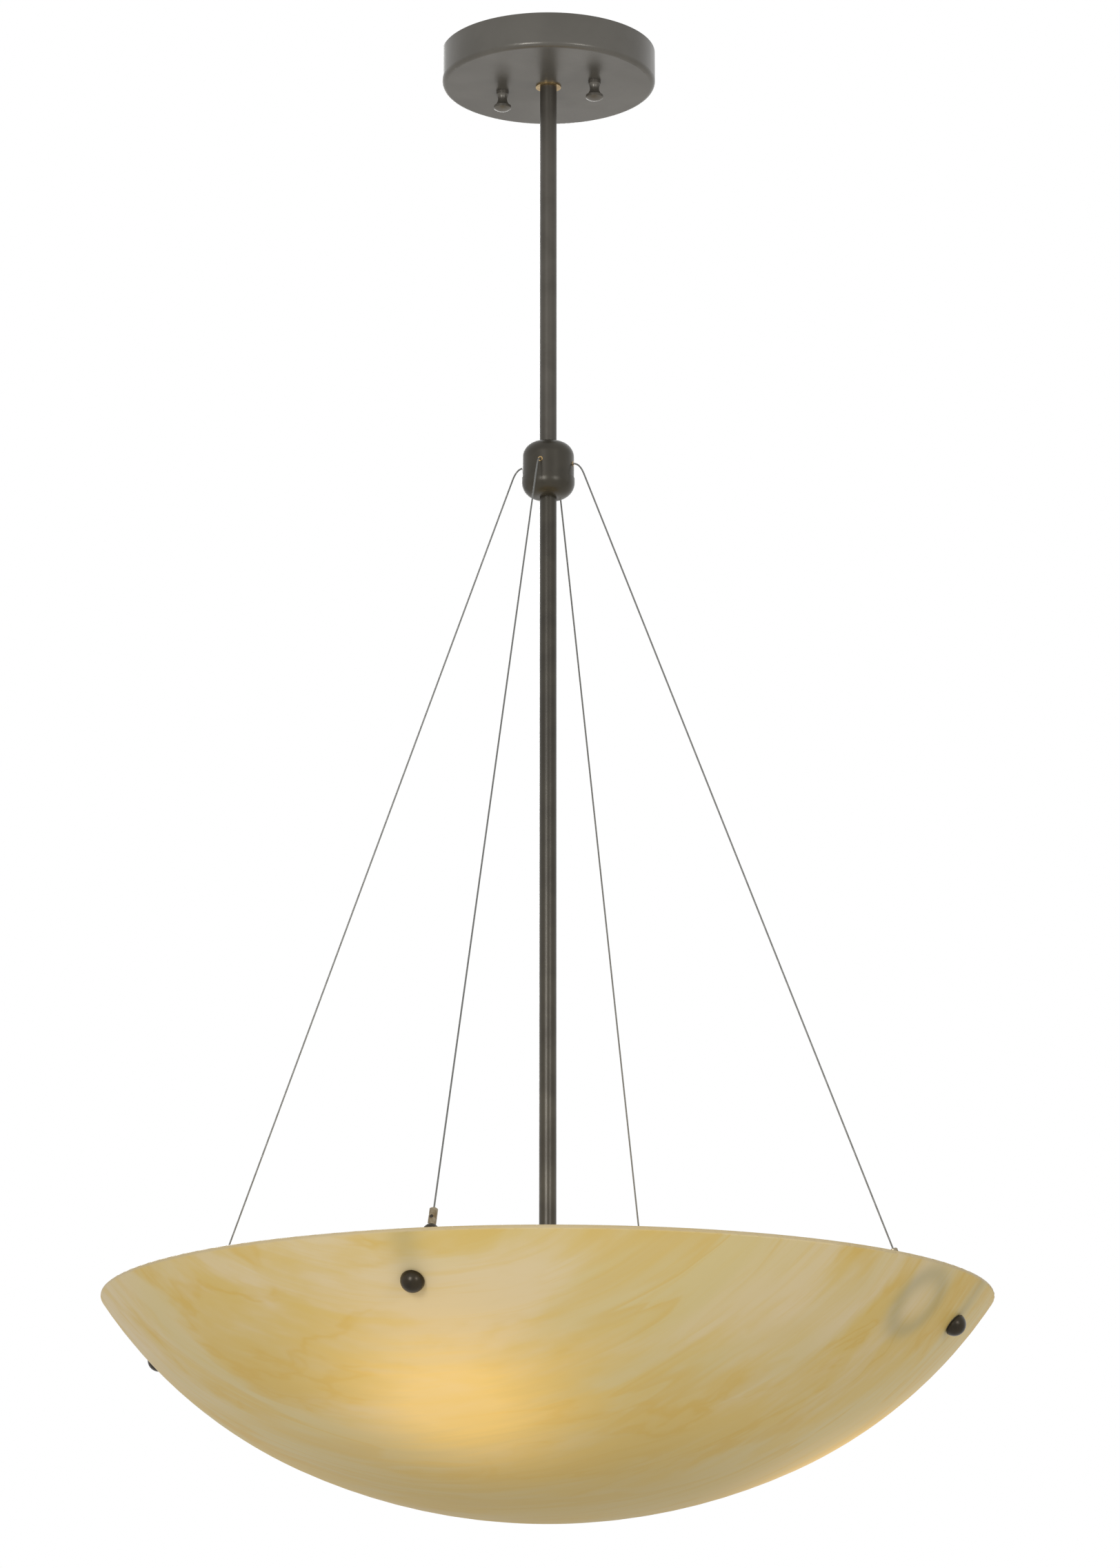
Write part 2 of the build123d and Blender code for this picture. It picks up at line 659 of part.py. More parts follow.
# Lamp cluster: a cup under the stem with a push-in cover, and three arms to the lampholders
cluster_inside = cluster_diameter / 2 - cluster_wall
arm_inner_reach = cluster_inside - arm_stand
socket_back = socket_front - socket_length
arm_planes = [radial_plane(azimuth, arm_inner_reach, lamp_z) for azimuth in lamp_azimuths]
nut_corner = nipple_nut_width / sqrt(3)
nut_seat = sqrt(cluster_inside**2 - nut_corner**2) - slip_clearance
nut_planes = [radial_plane(azimuth, nut_seat, lamp_z) for azimuth in lamp_azimuths]
with BuildPart() as cluster_body:
    with Locations((0, 0, cluster_top)):
        Cylinder(cluster_diameter / 2, cluster_height, align=top_align)
    fillet(cluster_body.edges().group_by(Axis.Z)[-1], cluster_corner)
    offset(amount=-cluster_wall, openings=cluster_body.faces().sort_by(Axis.Z)[0])
    with Locations((0, 0, cluster_top)):
        Hole(nipple_hole, depth=2 * cluster_wall)
    with Locations(*[radial_plane(azimuth, cluster_diameter / 2, lamp_z) for azimuth in lamp_azimuths]):
        Hole(nipple_hole, depth=2 * cluster_wall)
keep(cluster_body, "cluster_body")

with BuildPart() as cluster_cover:
    with Locations((0, 0, cluster_bottom)):
        Cylinder(cluster_diameter / 2, cluster_wall, align=top_align)
    fillet(cluster_cover.edges().group_by(Axis.Z)[0], cover_edge)
    with BuildSketch(Plane.XY.offset(cluster_bottom)):
        Circle(cluster_inside - slip_clearance)
        Circle(cluster_inside - slip_clearance - cover_lip_wall, mode=Mode.SUBTRACT)
    extrude(amount=cover_lip_height)
keep(cluster_cover, "cluster_cover")

arm_length = contact_reach + socket_back + arm_seat - arm_inner_reach
with BuildPart() as lamp_arms:
    with BuildSketch(*arm_planes):
        Circle(nipple_radius)
        Circle(nipple_bore, mode=Mode.SUBTRACT)
    extrude(amount=arm_length)
keep(lamp_arms, "lamp_arms")

with BuildPart() as arm_nuts:
    with BuildSketch(*[plane.offset(-arm_nut_height) for plane in nut_planes]):
        RegularPolygon(nipple_nut_width / 2, 6, major_radius=False)
        Circle(nipple_hole, mode=Mode.SUBTRACT)
    extrude(amount=arm_nut_height)
keep(arm_nuts, "arm_nuts")

# Lampholders and lamps. Z runs outwards along the lamp from its base contact.
shell_inner = base_diameter / 2 + turn_clearance
shell_outer = shell_inner + shell_wall
well_floor = -contact_gap - contact_height
with BuildPart() as socket:
    with Locations((0, 0, socket_back)):
        Cylinder(socket_diameter / 2, socket_length, align=foot_align)
    fillet(socket.edges().filter_by(GeomType.CIRCLE), socket_edge)
    with Locations((0, 0, socket_front)):
        Hole(shell_outer + slip_clearance, depth=socket_front - well_floor)
    with Locations(Plane.XY.offset(socket_back).rotated((180, 0, 0))):
        Hole(nipple_hole, depth=arm_seat)
    with Locations((0, 0, well_floor)):
        Hole(nipple_bore)

screw_shell_foot = well_floor
with BuildPart() as screw_shells:
    with BuildSketch(*[plane.offset(screw_shell_foot) for plane in lamp_planes]):
        Circle(shell_outer)
        Circle(shell_inner, mode=Mode.SUBTRACT)
    extrude(amount=shell_length)
keep(screw_shells, "screw_shells")

with BuildPart() as socket_contacts:
    with Locations(*[plane.offset(well_floor) for plane in lamp_planes]):
        Cylinder(contact_diameter / 2, contact_height, align=foot_align)
keep(socket_contacts, "socket_contacts")

with BuildPart() as lamp_base:
    with BuildSketch(Plane.XZ):
        with BuildLine():
            Polyline(
                (0, 0),
                (base_contact_diameter / 2, 0),
                (base_contact_diameter / 2, base_contact_height),
                (base_diameter / 2, base_shoulder),
                (base_diameter / 2, base_length),
                (base_diameter / 2 - base_wall, base_length),
                (base_diameter / 2 - base_wall, base_floor),
                (0, base_floor),
                close=True,
            )
        make_face()
    revolve(axis=Axis.Z)

globe_radius = lamp_diameter / 2
globe_height = lamp_length - globe_radius
neck_radius = base_diameter / 2 - base_wall - slip_clearance
flare_rise = globe_height - lamp_neck_height
flare_radius = (neck_radius**2 + flare_rise**2 - globe_radius**2) / (2 * (globe_radius - neck_radius))
flare_centre = Vector(neck_radius + flare_radius, lamp_neck_height)
globe_centre = Vector(0, globe_height)
to_flare = (flare_centre - globe_centre).normalized()
with BuildPart() as lamp_glass:
    with BuildSketch(Plane.XZ):
        with BuildLine():
            for wall in (0, lamp_glass_wall):
                neck = Line((neck_radius - wall, lamp_glass_seat), (neck_radius - wall, lamp_neck_height))
                meeting = globe_centre + to_flare * (globe_radius - wall)
                flare = TangentArc(neck @ 1, meeting, tangent=(0, 1))
                TangentArc(flare @ 1, (0, lamp_length - wall), tangent=flare % 1)
            Line((neck_radius - lamp_glass_wall, lamp_glass_seat), (neck_radius, lamp_glass_seat))
            Line((0, lamp_length - lamp_glass_wall), (0, lamp_length))
        make_face()
    revolve(axis=Axis.Z)

for number, plane in enumerate(lamp_planes, 1):
    for piece, name in ((socket, "socket"), (lamp_base, "lamp_base"), (lamp_glass, "lamp_glass")):
        with BuildPart() as placed:
            with Locations(plane):
                add(piece.part)
        keep(placed, f"{name}_{number}")
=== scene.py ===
import json
import math

import bpy
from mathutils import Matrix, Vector


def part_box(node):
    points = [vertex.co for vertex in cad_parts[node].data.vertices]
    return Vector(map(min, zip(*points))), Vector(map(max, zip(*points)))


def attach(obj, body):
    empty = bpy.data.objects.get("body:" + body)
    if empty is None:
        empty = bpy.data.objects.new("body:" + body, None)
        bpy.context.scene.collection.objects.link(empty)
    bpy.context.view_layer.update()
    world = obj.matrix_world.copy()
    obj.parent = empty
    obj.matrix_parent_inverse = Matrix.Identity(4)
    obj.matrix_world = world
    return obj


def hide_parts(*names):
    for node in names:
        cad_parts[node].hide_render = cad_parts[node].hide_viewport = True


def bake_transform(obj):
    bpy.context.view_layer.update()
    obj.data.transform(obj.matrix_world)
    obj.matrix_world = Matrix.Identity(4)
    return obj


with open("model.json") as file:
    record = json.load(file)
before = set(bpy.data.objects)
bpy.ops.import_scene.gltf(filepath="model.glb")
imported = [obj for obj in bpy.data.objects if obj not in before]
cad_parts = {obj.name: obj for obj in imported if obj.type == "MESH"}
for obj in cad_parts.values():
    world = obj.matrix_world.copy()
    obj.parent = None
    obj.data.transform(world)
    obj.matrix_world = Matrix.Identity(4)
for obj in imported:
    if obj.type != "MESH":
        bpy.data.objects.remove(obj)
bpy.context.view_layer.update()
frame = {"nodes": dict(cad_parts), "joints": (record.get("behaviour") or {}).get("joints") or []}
nodes = frame["nodes"]
joints = {joint["name"]: joint for joint in frame["joints"]}
sides = {"front": 0, "right": 90, "back": 180, "left": 270}  # degrees from the front, towards +X
lampNumbers = (1, 2, 3)


def radial(azimuth, reach=1.0, height=0.0):
    turn = math.radians(azimuth)
    return Vector((math.sin(turn) * reach, -math.cos(turn) * reach, height))


def paint(red, green, blue):  # screen colour, 0 to 255, as linear RGBA
    screen = [value / 255 for value in (red, green, blue)]
    return (*[((value + 0.055) / 1.055) ** 2.4 for value in screen], 1.0)


# camera, where the photographer stood: below the bowl, a little to its right
cameraSet = {
    "azimuth": 17.5,
    "distance": 3.633,  # from the stem's axis, along the floor
    "height": -1.4714,
    "pitch": 14.27,  # upwards
    "lens": 122.8,
    "frame": (1624, 2274),
    "axisPixel": 794,  # where the stem's axis crosses the frame
}


def makeCamera(s):
    width, height = s["frame"]
    data = bpy.data.cameras.new("photoCamera")
    data.lens = s["lens"]
    data.clip_end = 100
    camera = bpy.data.objects.new("photoCamera", data)
    bpy.context.scene.collection.objects.link(camera)
    camera.location = radial(s["azimuth"], s["distance"], s["height"])
    ahead = -radial(s["azimuth"])
    right = radial(s["azimuth"] + 90)
    pixelLens = data.lens / data.sensor_width * height
    yaw = math.atan((width / 2 - s["axisPixel"]) / pixelLens)
    pitch = math.radians(s["pitch"])
    level = ahead * math.cos(yaw) + right * math.sin(yaw)
    aim = level * math.cos(pitch) + Vector((0, 0, math.sin(pitch)))
    camera.rotation_mode = "QUATERNION"
    camera.rotation_quaternion = aim.to_track_quat("-Z", "Y")
    bpy.context.scene.camera = camera


makeCamera(cameraSet)
print("camera set")


# a socket that can be used in sums, and the one way to add a node
class Wire:
    def __init__(self, tree, socket=None):
        self.tree = tree
        self.socket = socket

    def node(self, kind, settings=None, values=None, output=0):
        made = self.tree.nodes.new(kind)
        for name, setting in (settings or {}).items():
            setattr(made, name, setting)
        for name, value in (values or {}).items():
            if isinstance(value, Wire):
                self.tree.links.new(value.socket, made.inputs[name])
            else:
                made.inputs[name].default_value = value
        return Wire(self.tree, made.outputs[output] if made.outputs else None)

    def other(self, name):  # another output of the same node
        return Wire(self.tree, self.socket.node.outputs[name])

    def math(self, operation, *values):
        return self.node("ShaderNodeMath", {"operation": operation}, dict(enumerate(values)))

    def __add__(self, value):
        return self.math("ADD", self, value)

    def __sub__(self, value):
        return self.math("SUBTRACT", self, value)

    def __mul__(self, value):
        return self.math("MULTIPLY", self, value)

    def __truediv__(self, value):
        return self.math("DIVIDE", self, value)

    def __pow__(self, value):
        return self.math("POWER", self, value)

    def __rsub__(self, value):
        return self.math("SUBTRACT", value, self)

    def __rtruediv__(self, value):
        return self.math("DIVIDE", value, self)

    def __rpow__(self, value):
        return self.math("POWER", value, self)

    __radd__ = __add__
    __rmul__ = __mul__

    def mix(self, first, second):  # self is the share of the second colour
        return self.node("ShaderNodeMix", {"data_type": "RGBA"}, {0: self, 6: first, 7: second}, 2)

    def vector(self, operation, *values, output=0):
        settings = {"operation": operation}
        return self.node("ShaderNodeVectorMath", settings, dict(enumerate(values)), output)

    def noise(self, scale, detail=3.0, roughness=0.5, distortion=0.0, output=0):  # self is the place
        values = {
            "Vector": self,
            "Scale": scale,
            "Detail": detail,
            "Roughness": roughness,
            "Distortion": distortion,
        }
        return self.node("ShaderNodeTexNoise", {}, values, output)

    def ramp(self, low, high, toLow=0.0, toHigh=1.0):  # smooth step from low to high
        settings = {"interpolation_type": "SMOOTHSTEP"}
        values = {0: self, 1: low, 2: high, 3: toLow, 4: toHigh}
        return self.node("ShaderNodeMapRange", settings, values)

    def bell(self, width):  # 1 where self is 0, soft outside width
        return math.e ** (-1 * (self / width) ** 2)


def newFinish(name):
    material = bpy.data.materials.new(name)
    material.use_nodes = True
    material.node_tree.nodes.clear()
    tree = Wire(material.node_tree)
    place = tree.node("ShaderNodeTexCoord", output="Object")
    return material, tree, place


def closeFinish(tree, values):
    shader = tree.node("ShaderNodeBsdfPrincipled", {}, values)
    tree.node("ShaderNodeOutputMaterial", {}, {"Surface": shader})


def bump(height, strength, distance):
    values = {"Strength": strength, "Distance": distance, "Height": height}
    return height.node("ShaderNodeBump", {}, values)


# plated and plain metals: cloudy colour, uneven polish and a fine grain
metalSet = {
    "canopyBronze": {"colour": paint(90, 87, 81), "cloud": paint(82, 79, 73), "metal": 0.45,
                     "polish": 0.31, "patch": 16.0, "grain": 0.04},
    "knobBronze": {"colour": paint(100, 96, 89), "cloud": paint(88, 84, 77), "metal": 0.45,
                   "polish": 0.34, "patch": 90.0, "grain": 0.03},
    "stemBronze": {"colour": paint(75, 71, 64), "cloud": paint(66, 62, 55), "metal": 0.45,
                   "polish": 0.42, "patch": 30.0, "grain": 0.03},
    "hubBronze": {"colour": paint(57, 53, 44), "cloud": paint(46, 42, 34), "metal": 0.45,
                  "polish": 0.33, "patch": 34.0, "grain": 0.03},
    "darkBronze": {"colour": paint(47, 38, 21), "cloud": paint(36, 29, 15), "metal": 0.5,
                   "polish": 0.32, "patch": 120.0, "grain": 0.03},
    "turnedBrass": {"colour": paint(216, 188, 142), "cloud": paint(196, 164, 114), "metal": 0.85,
                    "polish": 0.36, "patch": 150.0, "grain": 0.03},
    "agedBrass": {"colour": paint(190, 164, 118), "cloud": paint(156, 130, 88), "metal": 0.9,
                  "polish": 0.22, "patch": 220.0, "grain": 0.03},
    "agedNickel": {"colour": paint(150, 140, 120), "cloud": paint(116, 100, 74), "metal": 0.85,
                   "polish": 0.34, "patch": 260.0, "grain": 0.04},
    "blackScrew": {"colour": paint(70, 62, 52), "cloud": paint(52, 46, 38), "metal": 0.6,
                   "polish": 0.4, "patch": 260.0, "grain": 0.03},
    "zincSteel": {"colour": paint(168, 170, 170), "cloud": paint(146, 147, 144), "metal": 0.9,
                  "polish": 0.44, "patch": 90.0, "grain": 0.04},
    "earthGreen": {"colour": paint(52, 118, 72), "cloud": paint(40, 98, 58), "metal": 0.3,
                   "polish": 0.35, "patch": 200.0, "grain": 0.03},
    "lampCap": {"colour": paint(205, 205, 204), "cloud": paint(186, 186, 184), "metal": 0.9,
                "polish": 0.3, "patch": 120.0, "grain": 0.03},
}
metalLook = {
    "cloudNoise": (4.0, 0.55, 0.4),  # detail, roughness and distortion of the clouds
    "cloudEdges": (0.32, 0.68),
    "cloudDulls": 0.16,  # how far the clouds change the polish
    "grainDulls": 0.08,
    "grainNoise": (2600.0, 2.0),
    "grainHeight": 0.4,
    "grainOnThread": 0.05,
    "threadBump": 0.9,
    "bumpDepth": 0.0004,
}


def metalFinish(name, thread=None):
    s, look = metalSet[name], metalLook
    material, tree, place = newFinish(name if thread is None else name + "Threaded")
    clouds = place.noise(s["patch"], *look["cloudNoise"])
    grain = place.noise(*look["grainNoise"])
    height, strength = grain * look["grainHeight"], s["grain"]
    if thread is not None:
        height = thread(tree, place) + grain * look["grainOnThread"]
        strength = look["threadBump"]
    uneven = (clouds - 0.5) * look["cloudDulls"] + (grain - 0.5) * look["grainDulls"]
    closeFinish(tree, {
        "Base Color": clouds.ramp(*look["cloudEdges"]).mix(s["colour"], s["cloud"]),
        "Metallic": s["metal"],
        "Roughness": s["polish"] + uneven,
        "Normal": bump(height, strength, look["bumpDepth"]),
    })
    return material


finishes = {name: metalFinish(name) for name in metalSet}
print("metals made:", ", ".join(finishes))

# cords: the four hanging cables, pulled tight by the bowl
cableSet = {
    "diameter": 0.0012,
    "hubHeight": -0.314,
    "start": 0.0103,  # in its stop, inside the hub
    "straight": 0.0143,  # in the eyelet
    "corner": 0.0235,  # where the straight run would meet the hole's height
    "eased": 0.018,  # down the straight run from the corner
    "end": (0.24764, -0.89949),  # reach and height of the end in the gripper
    "sides": 12,
    "steps": 90,
    "lead": 0.0135,  # from the hub's hole to where the swinging length begins
    "blendShare": 0.15,
    # the lay painted darker in its grooves, as shade between the strands, and lighter on their crowns
    "shadedGroove": paint(80, 80, 78),
    "crown": paint(120, 120, 117),
    "strands": 6,
    "twist": 110,  # strands passed along one side in a metre
    "grooveEdges": (-1.0, -0.2),
    "grooveDepth": 0.00012,
}


def splineLine(name, points, steps):  # the points along a NURBS spline through these control points
    data = bpy.data.curves.new(name, "CURVE")
    data.dimensions = "3D"
    spline = data.splines.new("NURBS")
    spline.points.add(len(points) - 1)
    for control, point in zip(spline.points, points):
        control.co = (*point, 1)
    spline.order_u = 3
    spline.use_endpoint_u = True
    spline.resolution_u = steps
    holder = bpy.data.objects.new(name, data)
    bpy.context.scene.collection.objects.link(holder)
    bpy.context.view_layer.update()
    mesh = bpy.data.meshes.new_from_object(holder)
    line = [vertex.co.copy() for vertex in mesh.vertices]
    bpy.data.objects.remove(holder)
    bpy.data.meshes.remove(mesh)
    bpy.data.curves.remove(data)
    return line


def lineLength(line):
    return sum((after - before).length for before, after in zip(line, line[1:]))


def tubeAlong(name, line, radius, count, part=slice(None)):  # part: the rings to keep
    rings, faces, along = [], [], [0.0]
    normal = (line[1] - line[0]).orthogonal().normalized()
    for index, point in enumerate(line):
        ahead = line[min(index + 1, len(line) - 1)] - line[max(index - 1, 0)]
        ahead.normalize()
        normal = (normal - ahead * normal.dot(ahead)).normalized()
        across = ahead.cross(normal)
        if index:
            along.append(along[-1] + (point - line[index - 1]).length)
        ring = []
        for step in range(count):
            turn = 2 * math.pi * step / count
            ring.append(point + (normal * math.cos(turn) + across * math.sin(turn)) * radius)
        rings.append(ring)
    rings, along = rings[part], along[part]
    vertices = [vertex for ring in rings for vertex in ring]
    for ring in range(len(rings) - 1):
        for step in range(count):
            after = (step + 1) % count
            low, high = ring * count, (ring + 1) * count
            faces.append((low + step, low + after, high + after, high + step))
    faces.append(tuple(reversed(range(count))))
    faces.append(tuple(range(len(vertices) - count, len(vertices))))
    mesh = bpy.data.meshes.new(name)
    mesh.from_pydata(vertices, [], faces)
    layer = mesh.uv_layers.new(name="lay")  # round the cable and along it, in metres
    for face in mesh.polygons[:-2]:
        ring, step = divmod(face.index, count)
        corners = ((ring, step), (ring, step + 1), (ring + 1, step + 1), (ring + 1, step))
        for loop, (atRing, atStep) in zip(face.loop_indices, corners):
            layer.data[loop].uv = (atStep / count, along[atRing])
    mesh.shade_smooth()
    for edge in mesh.edges:  # sharp round the two ends
        onRings = {corner // count for corner in edge.vertices}
        edge.use_edge_sharp = onRings in ({0}, {len(rings) - 1})
    piece = bpy.data.objects.new(name, mesh)
    bpy.context.scene.collection.objects.link(piece)
    return piece


def cableFinish(s):
    material, tree, _ = newFinish("cableSteel")
    lay = tree.node("ShaderNodeUVMap", {"uv_map": "lay"})
    across = tree.node("ShaderNodeSeparateXYZ", {}, {0: lay})
    turns = across * s["strands"] + across.other("Y") * s["twist"]
    # painted shade in the grooves between the strands, lighter on their crowns
    crown = tree.math("SINE", turns * (2 * math.pi)).ramp(*s["grooveEdges"])
    closeFinish(tree, {
        "Base Color": crown.mix(s["shadedGroove"], s["crown"]),
        "Metallic": 0.6,
        "Roughness": 0.4,
        "Normal": bump(crown, 0.5, s["grooveDepth"]),
    })
    return material


finishes["cableSteel"] = cableFinish(cableSet)


def makeCables(s):
    endReach, endHeight = s["end"]
    for side, azimuth in sides.items():
        corner = radial(azimuth, s["corner"], s["hubHeight"])
        end = radial(azimuth, endReach, endHeight)
        down = (end - corner).normalized()
        controls = [
            radial(azimuth, s["start"], s["hubHeight"]),
            radial(azimuth, s["straight"], s["hubHeight"]),
            corner,
            corner + down * s["eased"],
            end,
        ]
        line = splineLine(f"hangingCable_{side}", controls, s["steps"])
        hole = radial(azimuth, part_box("hub_eyelets")[1].x, s["hubHeight"])
        cut = next(index for index, point in enumerate(line) if (point - hole).length > s["lead"])
        radius, count = s["diameter"] / 2, s["sides"]
        lead = tubeAlong(f"cableLead_{side}", line, radius, count, slice(0, cut + 1))
        piece = tubeAlong(f"hangingCable_{side}", line, radius, count, slice(cut, None))
        for tube in (lead, piece):
            tube.data.materials.append(finishes["cableSteel"])
        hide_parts(f"cable_{side}")
        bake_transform(lead)  # bends where it leaves the hub
        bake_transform(piece)
        print("cable", side, round(lineLength(line), 4), "m")


makeCables(cableSet)

# the bowl's section, as the maker drew it: a crown arc that runs into a side arc
bowlSet = {
    "corner": 0.3065,  # reach of the rim's corner, before it is rounded
    "depth": 0.1514,
    "crown": 0.4153,
    "crownReach": 0.1732,
    "wall": 0.0048,
    "fixingDrop": 0.030,
    "eyeReach": 0.040,
}
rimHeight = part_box("bowl")[1].z


def sideArc(s):  # reach and height above the rim of the side arc's centre, and its radius
    turn = math.asin(s["crownReach"] / s["crown"])
    join = Vector((s["crownReach"], s["crown"] * (1 - math.cos(turn)) - s["depth"]))
    inwards = Vector((-math.sin(turn), math.cos(turn)))
    toRim = Vector((s["corner"], 0)) - join
    radius = toRim.length_squared / (2 * toRim.dot(inwards))
    return join + inwards * radius, radius


sideCentre, sideRadius = sideArc(bowlSet)


def glassPoint(azimuth, drop):  # a point on the outside of the glass and its outward normal
    slope = math.acos((sideCentre.y + drop) / sideRadius)
    point = radial(azimuth, sideCentre.x + sideRadius * math.sin(slope), rimHeight - drop)
    normal = radial(azimuth, math.sin(slope), -math.cos(slope))
    return point, normal


# spare end of the right-hand cable: out of the fork's ball, then a loose loop along the glass
tailSet = {
    "ballHeight": 0.011,  # above the eye, up the cable
    "inBall": 0.0009,
    "lead": 0.012,
    "azimuth": 75.5,
    "drop": 0.0265,
    "offGlass": 0.003,
    "loop": 0.026,
    "entry": 0.010,  # where it joins the loop, from the loop's middle
    "drawIn": 0.005,  # radius lost in one turn
    "rise": 0.002,  # away from the glass in one turn
    "sides": 8,
    "corners": 11,
    "steps": 10,
}


def makeTail(s, cable):
    fixing, outwards = glassPoint(sides["right"], bowlSet["fixingDrop"])
    eye = fixing - outwards * bowlSet["eyeReach"]
    upCable = (radial(sides["right"], cable["corner"], cable["hubHeight"]) - eye).normalized()
    ball = eye + upCable * s["ballHeight"]
    round90 = radial(sides["right"] + 90)
    onGlass, outwards = glassPoint(s["azimuth"], s["drop"])
    middle = onGlass - outwards * (bowlSet["wall"] + s["offGlass"])
    across, inwards = radial(s["azimuth"] + 90), -outwards
    along = inwards.cross(across)

    def onLoop(x, y, z):
        return middle + across * x + along * y + inwards * z

    controls = [ball - round90 * s["inBall"], ball - round90 * s["lead"]]
    controls.append(onLoop(s["entry"], -s["loop"], s["rise"]))
    step = 2 * math.pi / s["sides"]
    for index in range(s["corners"]):
        turns = index / s["sides"]
        reach = (s["loop"] - s["drawIn"] * turns) / math.cos(step / 2)
        turn = math.pi / 2 + step * (index + 0.5)
        controls.append(onLoop(reach * math.cos(turn), -reach * math.sin(turn), s["rise"] * turns))
    line = splineLine("spareCable", controls, s["steps"])
    piece = tubeAlong("spareCable", line, cable["diameter"] / 2, cable["sides"])
    piece.data.materials.append(finishes["cableSteel"])
    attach(piece, "bowl")
    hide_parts("cable_tail")
    print("spare cable", round(lineLength(line), 4), "m")
    return middle


tailMiddle = makeTail(tailSet, cableSet)

# bowl: a cloudy sheet of art glass, slumped, with the lamps' glow through it painted on
glassSet = {
    "streakTurn": -2.0,  # degrees, direction of the sheet's streaks in plan
    "stretch": (3.0, 1.0, 2.5),  # along the streaks, across them, and down the wall
    "warp": (0.06, 0.06, 0.06),
    "cream": paint(205, 186, 131),
    "pale": paint(213, 193, 151),
    "ochre": paint(207, 178, 100),
    "deep": paint(204, 168, 78),
    "rim": paint(180, 163, 128),
    # colour of the painted shadows behind the glass
    "shade": paint(148, 143, 112),
    # base colour where the painted lamp glow lies
    "glowTint": paint(226, 192, 114),
    # painted shade, darker and more olive towards the bottom
    "bottomShade": paint(177, 149, 66),
    "noise": {  # scale, detail, roughness and distortion
        "swirl": (8.0, 3.0),
        "clouds": (9.0, 3.0, 0.5),
        "bands": (19.0, 4.0, 0.55),
        "fibres": (24.0, 4.0, 0.6),
        "curls": (17.0, 4.0, 0.6, 0.5),
        "wisps": (14.0, 2.0, 0.45, 0.4),
        "ripples": (60.0, 2.0),
    },
    "bandShift": (3.7, 1.9, 0.6),
    "curlShift": (8.1, 5.2, 2.3),
    "fibreSqueeze": (1.0, 7.0, 1.0),
    "wispSqueeze": (1.0, 2.8, 1.0),
    "edges": {  # where in its noise each layer fades in
        "pale": (0.44, 0.62),
        "bands": (0.42, 0.62),
        "fibres": (0.44, 0.7),
        "veins": (0.44, 0.6),
        "wisps": (0.44, 0.58, 1.0, 0.0),
        "ring": (0.3, 0.7, 0.3, 0.5),
    },
    "share": {"bands": 0.9, "fibres": 0.4, "veins": 0.6, "wisps": 0.42, "fixingShadow": 0.35, "rim": 0.8,
              "glowTint": 0.45},
    "veinWidth": 0.022,
    "wisp": (0.5, 0.54, 0.64),  # a sharp side and a soft tail
    # painted shadows of the fixings, seen through the glass
    "fixingShadowWidth": 0.011,
    "fixingShadowBand": (0.042, 0.018),  # depths below the rim, here and in the next two
    "bottomShadeBand": (0.152, 0.095, 0.55, 0.0),
    "rimBand": (0.0034, 0.0016),
    # painted shadow of the spare loop, seen through the glass
    "ringRadius": 0.023,
    "ringWidth": 0.008,
    "lampReach": 0.078,  # base contact to the middle of the globe
    # painted glow of the lamps through the glass
    "glow": (0.29, 0.165, 0.035, 1.0),
    "glowReach": 0.066,
    "glowPeak": 1.9,  # the glass is a little way from the lamp
    "glowDrop": Vector((0, 0, -0.010)),
    "glowMix": (0.4, 0.6, 0.6),  # even, by the fibres and by the clouds
    "polish": 0.5,
    "cloudDulls": 0.15,
}


def lampMiddles(s):
    for number in lampNumbers:
        joint = joints[f"lamp_{number}_turn"]
        yield Vector(joint["pos_m"]) + Vector(joint["axis"]) * s["lampReach"]


